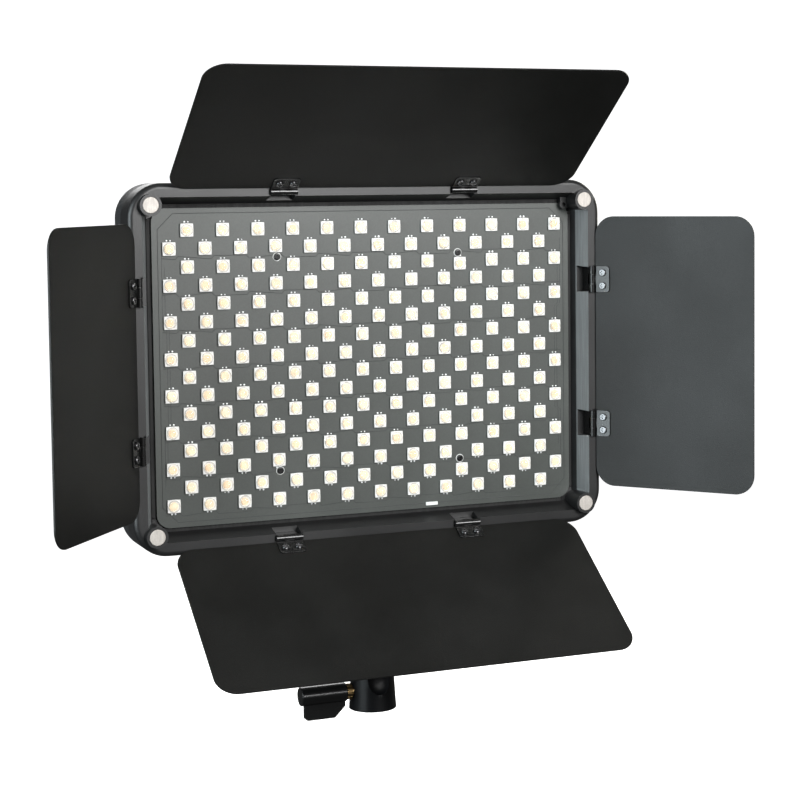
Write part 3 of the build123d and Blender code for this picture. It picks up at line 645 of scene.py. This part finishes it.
def run_tree(shop: Workshop, name: str, source: bpy.types.Mesh, tree: bpy.types.NodeTree,
             values: dict[str, object]) -> bpy.types.Object:
    """Run a Geometry Nodes tree on a mesh and keep the result as a plain mesh.

    Args:
        shop: The workshop.
        name: Name of the piece.
        source: Points or edges that the tree reads.
        tree: The tree.
        values: Input name to value.

    Returns:
        The finished object.
    """
    piece = bpy.data.objects.new(name, source)
    bpy.context.scene.collection.objects.link(piece)
    nodes = piece.modifiers.new(name, "NODES")
    nodes.node_group = tree
    for item in tree.interface.items_tree:
        if item.in_out == "INPUT" and item.name in values:
            nodes[item.identifier] = values[item.name]
    mesh = shop.applied(piece)
    mesh.shade_smooth()
    mesh.set_sharp_from_angle(angle=math.radians(38))
    return piece


def turned(name: str, profile: Sequence[tuple[float, float]], sides: int) -> bpy.types.Mesh:
    """A round shape about the Y axis, facing -Y.

    Args:
        name: Name of the mesh.
        profile: Radius and forward distance pairs, from the back's centre to the front's centre.
        sides: Number of faces round it.

    Returns:
        The closed mesh.
    """
    work = bmesh.new()
    rings = []
    for radius, forward in profile:
        if radius < 1e-7:
            rings.append([work.verts.new((0, -forward, 0))])
        else:
            steps = (2 * math.pi * k / sides for k in range(sides))
            rings.append([work.verts.new((radius * math.cos(a), -forward, radius * math.sin(a))) for a in steps])
    for one, two in zip(rings, rings[1:]):
        for k in range(sides):
            after = (k + 1) % sides
            quad = [one[k % len(one)], one[after % len(one)], two[after % len(two)], two[k % len(two)]]
            corners = list(dict.fromkeys(quad))
            if len(corners) > 2:
                work.faces.new(corners)
    bmesh.ops.remove_doubles(work, verts=work.verts, dist=1e-7)
    bmesh.ops.recalc_face_normals(work, faces=work.faces)
    mesh = bpy.data.meshes.new(name)
    work.to_mesh(mesh)
    work.free()
    return mesh


def eased_box(name: str, centre: Sequence[float], size: Sequence[float], edge: float) -> bpy.types.Mesh:
    """A box with cut edges.

    Args:
        name: Name of the mesh.
        centre: Its centre.
        size: Its size along each axis.
        edge: Width of the cut.

    Returns:
        The mesh.
    """
    work = bmesh.new()
    place = Matrix.Translation(centre) @ Matrix.Diagonal((*size, 1))
    bmesh.ops.create_cube(work, size=1.0, matrix=place)
    bmesh.ops.bevel(work, geom=work.edges, offset=edge, segments=1, affect="EDGES")
    mesh = bpy.data.meshes.new(name)
    work.to_mesh(mesh)
    work.free()
    return mesh


@dataclass
class LightField:
    """The LED board with its LEDs, pads, traces and screws."""

    shop: Workshop
    tree: ScatterTree
    paths: PathTree
    cavity: float = 0.0029
    cavity_depth: float = 0.0004
    cavity_taper: float = 0.0002
    package_edge: float = 0.0001
    package_sides: int = 16
    package_corner: float = 0.97
    foot: float = 0.00045
    foot_inset: float = 0.00025
    foot_edge: float = 0.00005
    phosphor: float = 0.0021
    phosphor_sides: int = 14
    phosphor_offset: tuple[float, float, float] = (-0.0002, 0, -0.0001)
    phosphor_spread: float = 0.12
    dome_sides: int = 14
    dome_rings: int = 5
    dome_lift: float = 0.00002
    pad_places: tuple[float, float] = (-0.0011, 0.0010)
    pad_gap: float = 0.00085
    pad_flip: float = -0.054
    pad_sides: int = 8
    pad_spread: float = 0.28
    pad_profile: tuple[tuple[float, float], ...] = (
        (0, -0.0001), (0.00048, -0.0001), (0.00048, 0.00008), (0.0003, 0.00018), (0, 0.0002))
    ring_profile: tuple[tuple[float, float], ...] = (
        (0.0021, 0.0), (0.0025, 0.0), (0.0025, 0.00008), (0.0021, 0.00008), (0.0021, 0.0))
    ring_sides: int = 24
    trace_radius: float = 0.00022
    trace_sunk: float = 0.55
    trace_sides: int = 6
    row_pitch: float = 0.0105
    border_inset: tuple[float, float] = (0.0035, 0.003)
    border_corner: float = 0.009
    jog_count: int = 12
    jog_start: float = 0.010
    jog_pitch: float = 0.0210
    jog_length: float = 0.0018
    jog_height: float = 0.0009
    jog_margin: float = 0.002
    edge_lines: tuple[float, float] = (0.0, 0.0016)
    edge_step: float = 0.0022
    edge_soft: float = 0.0002
    seed: int = 7

    def build(self) -> None:
        """Build and place every piece of the board."""
        board_low, board_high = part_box("led_board")
        self.face = board_low.y
        self.board = (board_low, board_high)
        solids = self.shop.islands("led_packages")
        self.places = [Vector(((a.x + b.x) / 2, a.y, (a.z + b.z) / 2)) for a, b in solids]
        self.half = (solids[0][1].x - solids[0][0].x) / 2
        self.height = self.face - solids[0][0].y
        self.shop.softened("led_board", self.edge_soft)
        self._packages()
        self._domes()
        self._pads()
        self._traces()
        self._screws()
        self.shop.softened("board_connector", self.edge_soft)

    def _scatter(self, name: str, mesh: bpy.types.Mesh, points: list[Vector], finish: str, slot: str,
                 replaced: tuple[str, ...] = (), spread: float = 0.0, turn: float = 0.0) -> None:
        """Set one mesh on many points as one piece.

        Args:
            name: Name of the piece.
            mesh: The repeated shape.
            points: Where it stands.
            finish: Name of its finish.
            slot: The record's material slot.
            replaced: Frame nodes that it stands for.
            spread: Spread of its size, as a share.
            turn: Greatest turn about the light's axis, in radians.
        """
        cloud = bpy.data.meshes.new(f"{name}_points")
        cloud.from_pydata([tuple(p) for p in points], [], [])
        model = bpy.data.objects.new(f"{name}_model", mesh)
        piece = run_tree(self.shop, name, cloud, self.tree.tree, {
            "Piece": model, "Size": 1.0, "Size Spread": spread, "Turn": turn, "Seed": self.seed,
            "Finish": self.shop.materials[finish]})
        bpy.data.objects.remove(model)
        self.shop.show(piece, "panel", slot, replaced)

    def _packages(self) -> None:
        """White packages with a round cavity, dark feet under them as painted shade along each package's side, and
        the phosphor.
        """
        half, height, sides, edge = self.half, self.height, self.package_sides, self.package_edge
        foot = self.foot
        work = bmesh.new()

        def square(size: float, forward: float) -> list[bmesh.types.BMVert]:
            """A square ring with as many points as the cavity's rim."""
            ring = []
            for k in range(sides):
                angle = 2 * math.pi * k / sides
                c, s = math.cos(angle), math.sin(angle)
                stretch = size / max(abs(c), abs(s))
                corner = self.package_corner if k % 4 == 2 else 1.0
                ring.append(work.verts.new((c * stretch * corner, -forward, s * stretch * corner)))
            return ring

        def circle(radius: float, forward: float) -> list[bmesh.types.BMVert]:
            """A round ring of the cavity."""
            angles = (2 * math.pi * k / sides for k in range(sides))
            return [work.verts.new((radius * math.cos(a), -forward, radius * math.sin(a))) for a in angles]

        rings = [square(half - edge, foot - height), square(half, foot + edge - height),
                 square(half, -edge), square(half - edge, 0), circle(self.cavity, 0),
                 circle(self.cavity - self.cavity_taper, -self.cavity_depth)]
        for one, two in zip(rings, rings[1:]):
            for k in range(sides):
                work.faces.new((one[k], one[(k + 1) % sides], two[(k + 1) % sides], two[k]))
        work.faces.new(rings[-1])
        work.faces.new(rings[0])
        bmesh.ops.recalc_face_normals(work, faces=work.faces)
        mesh = bpy.data.meshes.new("package")
        work.to_mesh(mesh)
        work.free()
        self._scatter("led_bodies", mesh, self.places, "led_white", "led_white", ("led_packages",))
        # Dark feet under the packages: painted shade along each package's side.
        wide = 2 * (half - self.foot_inset)
        feet = eased_box("foot", (0, height - foot / 2, 0), (wide, foot, wide), self.foot_edge)
        self._scatter("led_feet", feet, self.places, "led_base_painted_shade", "led_white")
        disc = turned("phosphor", [(0, -self.cavity_depth), (self.phosphor, -self.cavity_depth),
                                   (self.phosphor * 0.9, -self.cavity_depth + 0.0003),
                                   (0, -self.cavity_depth + 0.00042)], self.phosphor_sides)
        spots = [p + Vector(self.phosphor_offset) for p in self.places]
        self._scatter("led_phosphor", disc, spots, "phosphor", "led_clear", spread=self.phosphor_spread)

    def _domes(self) -> None:
        """Clear domes over the cavities."""
        low, high = self.shop.islands("led_lenses")[0]
        radius, rise = (high.x - low.x) / 2, high.y - low.y
        ball = (radius ** 2 + rise ** 2) / (2 * rise)
        profile = [(0.0, self.dome_lift), (radius, self.dome_lift)]
        for k in range(1, self.dome_rings):
            forward = rise * math.sin(math.pi / 2 * k / self.dome_rings)
            profile.append((math.sqrt(max(ball ** 2 - (forward - rise + ball) ** 2, 0)), forward))
        profile.append((0.0, rise))
        dome = turned("dome", profile, self.dome_sides)
        self._scatter("led_domes", dome, self.places, "led_clear", "led_clear", ("led_lenses",))

    def _pads(self) -> None:
        """Two small solder pads beside each LED."""
        middle = (self.board[0].z + self.board[1].z) / 2
        points = []
        for place in self.places:
            side = -1 if place.z - middle < self.pad_flip else 1
            z = place.z + side * (self.half + self.pad_gap)
            points += [Vector((place.x + x, self.face, z)) for x in self.pad_places]
        dot = turned("pad", self.pad_profile, self.pad_sides)
        self._scatter("led_pads", dot, points, "solder_pad", "led_white", spread=self.pad_spread)

    def _traces(self) -> None:
        """Conductor outlines under the board's mask: jogged lines between the LED rows, and a border."""
        low, high = self.board
        centre = (low.z + high.z) / 2
        rows = sorted({round(p.z, 4) for p in self.places})
        pitch = self.row_pitch
        count = round((rows[-1] - rows[0]) / pitch) + 1
        verts: list[tuple[float, float, float]] = []
        edges: list[tuple[int, int]] = []

        def lay(points: list[tuple[float, float]], closed: bool = False) -> None:
            """Add one line through points of the board."""
            start = len(verts)
            verts.extend((x, self.face + self.trace_radius * self.trace_sunk, z) for x, z in points)
            edges.extend((start + k, start + k + 1) for k in range(len(points) - 1))
            if closed:
                edges.append((start + len(points) - 1, start))

        edge_x, edge_z = high.x - self.border_inset[0], (high.z - low.z) / 2 - self.border_inset[1]
        cut = self.border_corner
        border = [(edge_x - cut, edge_z), (edge_x, edge_z - cut), (edge_x, cut - edge_z),
                  (edge_x - cut, -edge_z), (cut - edge_x, -edge_z), (-edge_x, cut - edge_z),
                  (-edge_x, edge_z - cut), (cut - edge_x, edge_z)]
        lay([(x, centre + z) for x, z in border], closed=True)
        for j in range(1, count, 2):
            z = centre + ((count - 1) / 2 - j) * pitch - pitch / 2
            points = [(-edge_x + self.jog_margin, z)]
            for k in range(self.jog_count):
                x = -edge_x + self.jog_start + k * self.jog_pitch
                step = self.jog_height if (k * 3 + j) % 4 < 2 else -self.jog_height
                points += [(x, z - step), (x + self.jog_length, z + step)]
            points.append((edge_x - self.jog_margin, points[-1][1]))
            lay(points)
        for s in (-1, 1):
            for k, reach in enumerate(self.edge_lines):
                x = s * (edge_x - self.edge_step - reach)
                inner = x - s * self.edge_step
                lay([(x, centre + 0.070 - 0.012 * k), (x, centre + 0.030), (inner, centre + 0.0278),
                     (inner, centre - 0.034), (x, centre - 0.0362), (x, centre - 0.068 + 0.010 * k)])
        mesh = bpy.data.meshes.new("trace_lines")
        mesh.from_pydata(verts, edges, [])
        piece = run_tree(self.shop, "board_traces", mesh, self.paths.tree, {
            "Radius": self.trace_radius, "Sides": self.trace_sides,
            "Finish": self.shop.materials["trace_mask"]})
        self.shop.show(piece, "panel", "board_mask")

    def _screws(self) -> None:
        """Cross-recess screws of the board, each in a pale printed ring."""
        solids = self.shop.islands("board_screws")
        places = [Vector(((a.x + b.x) / 2, self.face, (a.z + b.z) / 2)) for a, b in solids]
        self.shop.dress("board_screws", finish="hinge_black")
        ring = turned("ring", self.ring_profile, self.ring_sides)
        self._scatter("screw_rings", ring, places, "silk_ring", "led_white")


@dataclass
class PanelShell:
    """The bezel, the rear housing and what is fixed to them."""

    shop: Workshop
    slope_low: float = 0.35
    slope_high: float = 0.93
    slope_area: float = 0.0002
    # Inner share of each upright slope that keeps the dark bezel colour: painted shade of the recess beside the
    # board.
    painted_shade_share: float = 0.3

    def build(self) -> None:
        """Soften the shell's edges and dress its fixed parts."""
        self._bezel()
        self.shop.softened("rear_housing", 0.0004, 50.0)
        self.shop.softened("corner_magnets", 0.0005)
        self.shop.dress("heat_sink", "sink_screws", "housing_screws", "control_board", "driver_board",
                        "driver_components", "circuit_screws", "backing_plate")

    def _bezel(self) -> None:
        """Soften the bezel and give the outer part of its two upright inner slopes a brushed satin finish whose light
        grey is partly painted sheen; the inner band next to the board keeps the dark bezel colour as painted shade of
        the recess.
        """
        mesh = self.shop.softened("front_bezel", 0.0004).data
        mesh.materials.append(self.shop.materials["bezel_satin_painted_sheen"])

        def upright(normal: Vector, centre: Vector) -> bool:
            """Whether a face lies on the left or right inner slope."""
            sloped = self.slope_low < abs(normal.x) < self.slope_high and normal.y < -0.3
            return sloped and normal.x * centre.x < 0

        reach = [abs(mesh.vertices[v].co.x) for face in mesh.polygons if upright(face.normal, face.center)
                 and face.area > self.slope_area for v in face.vertices]
        split = min(reach) + self.painted_shade_share * (max(reach) - min(reach))
        work = bmesh.new()
        work.from_mesh(mesh)
        for side in (-1, 1):
            faces = [f for f in work.faces if upright(f.normal, f.calc_center_median())
                     and f.calc_center_median().x * side > 0]
            parts = [v for f in faces for v in f.verts] + [e for f in faces for e in f.edges]
            parts = list(dict.fromkeys(parts)) + faces
            bmesh.ops.bisect_plane(work, geom=parts, plane_co=(side * split, 0, 0), plane_no=(1, 0, 0))
        # Only the outer part gets the satin with its partly painted sheen; the inner band stays dark as painted
        # shade.
        for face in work.faces:
            centre = face.calc_center_median()
            if upright(face.normal, centre) and abs(centre.x) > split:
                face.material_index = 1
        work.to_mesh(mesh)
        work.free()


@dataclass
class BarnDoors:
    """The four hinged doors."""

    shop: Workshop
    sides: tuple[str, ...] = ("top", "bottom", "left", "right")

    def build(self) -> None:
        """Soften each door and its hinge leaves, and dress the screws."""
        for side in self.sides:
            self.shop.softened(f"door_{side}", 0.00025)
            self.shop.softened(f"door_{side}_leaves", 0.0002)
            self.shop.dress(f"door_{side}_fasteners", finish="door_screw")
        self.shop.softened("fixed_leaves", 0.0002)
        self.shop.dress("hinge_pins")


@dataclass
class RearControls:
    """Knobs, buttons, display, switch, inlet and battery plates."""

    shop: Workshop
    tree: ScatterTree
    tick_count: int = 11
    tick_gap: float = 0.0032
    tick_profile: tuple[tuple[float, float], ...] = (
        (0, -0.00012), (0.00042, -0.00012), (0.0005, 0.0), (0, 0.0001))
    tick_sides: int = 10
    pointer_size: tuple[float, float, float] = (0.0009, 0.0002, 0.0050)
    pointer_rise: float = 0.0055
    pointer_edge: float = 0.00005

    def build(self) -> None:
        """Soften and dress the controls, and add the knob scales."""
        for node in ("display_window", "power_switch", "battery_plate_left", "battery_plate_right"):
            self.shop.softened(node, 0.0003)
        for node in ("brightness_knob", "colour_knob", "power_rocker", "dc_jack", "battery_latch_left",
                     "battery_latch_right"):
            self.shop.softened(node, 0.00025)
        self.shop.dress("mode_button", "menu_button", "display_module", "encoder_bodies", "button_switches",
                        "battery_contacts", "plate_screws", "brightness_shaft", "colour_shaft")
        for node in ("brightness_knob", "colour_knob"):
            self._scale(node)
            self._pointer(node)

    def _scale(self, node: str) -> None:
        """Printed dots of the scale round a knob.

        Args:
            node: The knob's frame node.
        """
        low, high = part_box(node)
        centre, radius = (low + high) / 2, (high.x - low.x) / 2 + self.tick_gap
        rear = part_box("rear_housing")[1].y
        cloud = bpy.data.meshes.new(f"{node}_dots")
        angles = [math.radians(-135 + 270 * k / (self.tick_count - 1)) for k in range(self.tick_count)]
        cloud.from_pydata([(centre.x + radius * math.sin(a), rear, centre.z + radius * math.cos(a))
                           for a in angles], [], [])
        dot = turned("dot", self.tick_profile, self.tick_sides)
        model = bpy.data.objects.new("dot_model", dot)
        piece = run_tree(self.shop, f"{node}_scale", cloud, self.tree.tree, {
            "Piece": model, "Size": 1.0, "Size Spread": 0.05, "Turn": 0.0, "Seed": 3,
            "Finish": self.shop.materials["silk_ring"]})
        bpy.data.objects.remove(model)
        self.shop.show(piece, "panel", "led_white")

    def _pointer(self, node: str) -> None:
        """A pale line on a knob's end.

        Args:
            node: The knob's frame node.
        """
        low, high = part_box(node)
        centre = (low + high) / 2
        middle = (centre.x, high.y, centre.z + self.pointer_rise)
        mesh = eased_box(f"{node}_pointer", middle, self.pointer_size, self.pointer_edge)
        piece = self.shop.new_piece(f"{node}_pointer", mesh, "silk_ring")
        self.shop.show(piece, BODY_OF[node], "led_white")


@dataclass
class StandMount:
    """The stand socket, its clamp screw and the tilt yoke."""

    shop: Workshop

    def build(self) -> None:
        """Soften and dress the mount."""
        for node, width in (("stand_socket", 0.0006), ("clamp_grip", 0.0004), ("tilt_yoke", 0.0006),
                            ("tilt_bolt", 0.0004), ("tilt_lever", 0.0004)):
            self.shop.softened(node, width)
        self.shop.dress("clamp_screw", "clamp_shoe", "yoke_screws", "friction_washers")


@dataclass
class SoftBox:
    """A rectangular studio light."""

    name: str
    place: tuple[float, float, float]
    size: tuple[float, float]
    power: float
    colour: tuple[float, float, float] = (1.0, 1.0, 1.0)

    def build(self, target: Vector) -> None:
        """Make the light, facing the target.

        Args:
            target: Point that the light faces.
        """
        lamp = bpy.data.lights.new(self.name, "AREA")
        lamp.shape, lamp.size, lamp.size_y = "RECTANGLE", *self.size
        lamp.energy, lamp.color = self.power, self.colour
        holder = bpy.data.objects.new(self.name, lamp)
        holder.location = self.place
        holder.rotation_euler = (target - Vector(self.place)).to_track_quat("-Z", "Y").to_euler()
        bpy.context.scene.collection.objects.link(holder)


@dataclass
class Studio:
    """Pale floor, soft lights and the camera."""

    shop: Workshop
    floor_drop: float = 0.32
    lens: float = 88.04
    shift: tuple[float, float] = (-0.1, -0.1)
    eye: tuple[float, float, float] = (-0.39971, -1.09092, 0.31284)
    axes: tuple[tuple[float, float, float], ...] = (
        (0.91731, 0.03596, -0.39654), (-0.39806, 0.05950, -0.91543), (-0.00933, 0.99758, 0.06889))
    boxes: tuple[SoftBox, ...] = (
        SoftBox("left_box", (-1.65, -0.62, 0.4), (1.1, 1.2), 34.0, (0.86, 0.96, 1.0)),
        SoftBox("front_box", (0.46, -1.66, 0.82), (0.85, 0.90), 45.0),
        SoftBox("top_box", (0.3, -0.1, 1.6), (1.2, 0.9), 1.4),
        SoftBox("right_box", (1.6, 0.95, 0.65), (0.9, 1.1), 15.0, (1.0, 0.98, 0.88)),
        SoftBox("rear_box", (0.5, 1.9, 0.9), (1.4, 1.0), 17.0),
    )

    def build(self) -> None:
        """Build the studio."""
        self._floor()
        target = (CAD_BOX[0] + CAD_BOX[1]) / 2
        for box in self.boxes:
            box.build(target)
        world = bpy.data.worlds.new("room")
        bpy.context.scene.world = world
        world.use_nodes = True
        world.node_tree.nodes["Background"].inputs["Color"].default_value = (1, 1, 1, 1)
        world.node_tree.nodes["Background"].inputs["Strength"].default_value = 0.07
        bpy.context.scene.view_settings.view_transform = "Standard"
        self._camera()

    def _floor(self) -> None:
        """Round pale floor that rises into a wall all round, so that no edge shows."""
        low = -self.floor_drop
        profile = [(0.0, low), (3.2, low)]
        for k in range(1, 9):
            a = math.pi / 2 * k / 8
            profile.append((3.2 + 0.9 * math.sin(a), low + 0.9 - 0.9 * math.cos(a)))
        profile.append((4.1, 5.0))
        sides = 72
        verts = [(0.0, 0.0, low)]
        for radius, height in profile[1:]:
            verts += [(radius * math.cos(2 * math.pi * k / sides), radius * math.sin(2 * math.pi * k / sides), height)
                      for k in range(sides)]
        faces = [(0, 1 + k, 1 + (k + 1) % sides) for k in range(sides)]
        for ring in range(len(profile) - 2):
            one, two = 1 + ring * sides, 1 + (ring + 1) * sides
            faces += [(one + k, two + k, two + (k + 1) % sides, one + (k + 1) % sides) for k in range(sides)]
        mesh = bpy.data.meshes.new("floor")
        mesh.from_pydata(verts, [], faces)
        mesh.shade_smooth()
        paper = Finish("floor_paper", (0.93, 0.93, 0.93), 0.9, variation=0.01, bump=0.0, smudge=0.0, glow=1.0)
        material = paper.build(self.shop.groups)
        floor = bpy.data.objects.new("floor", mesh)
        mesh.materials.append(material)
        bpy.context.scene.collection.objects.link(floor)
        floor.visible_glossy = floor.visible_diffuse = False

    def _camera(self) -> None:
        """Camera at the light's usual three-quarter view."""
        camera = bpy.data.objects.new("camera", bpy.data.cameras.new("camera"))
        camera.data.lens, camera.data.sensor_width = self.lens, 36.0
        camera.data.shift_x, camera.data.shift_y = self.shift
        turn = Matrix(self.axes).to_4x4()
        camera.matrix_world = Matrix.Translation(self.eye) @ turn
        bpy.context.scene.collection.objects.link(camera)
        bpy.context.scene.camera = camera


def main() -> None:
    """Build the light and its studio in order."""
    logging.basicConfig(level=logging.INFO, format="%(message)s")
    shop = Workshop()
    scatter, paths = ScatterTree(), PathTree()
    PanelShell(shop).build()
    LightField(shop, scatter, paths).build()
    BarnDoors(shop).build()
    RearControls(shop, scatter).build()
    StandMount(shop).build()
    Studio(shop).build()


if __name__ == "__main__":
    main()
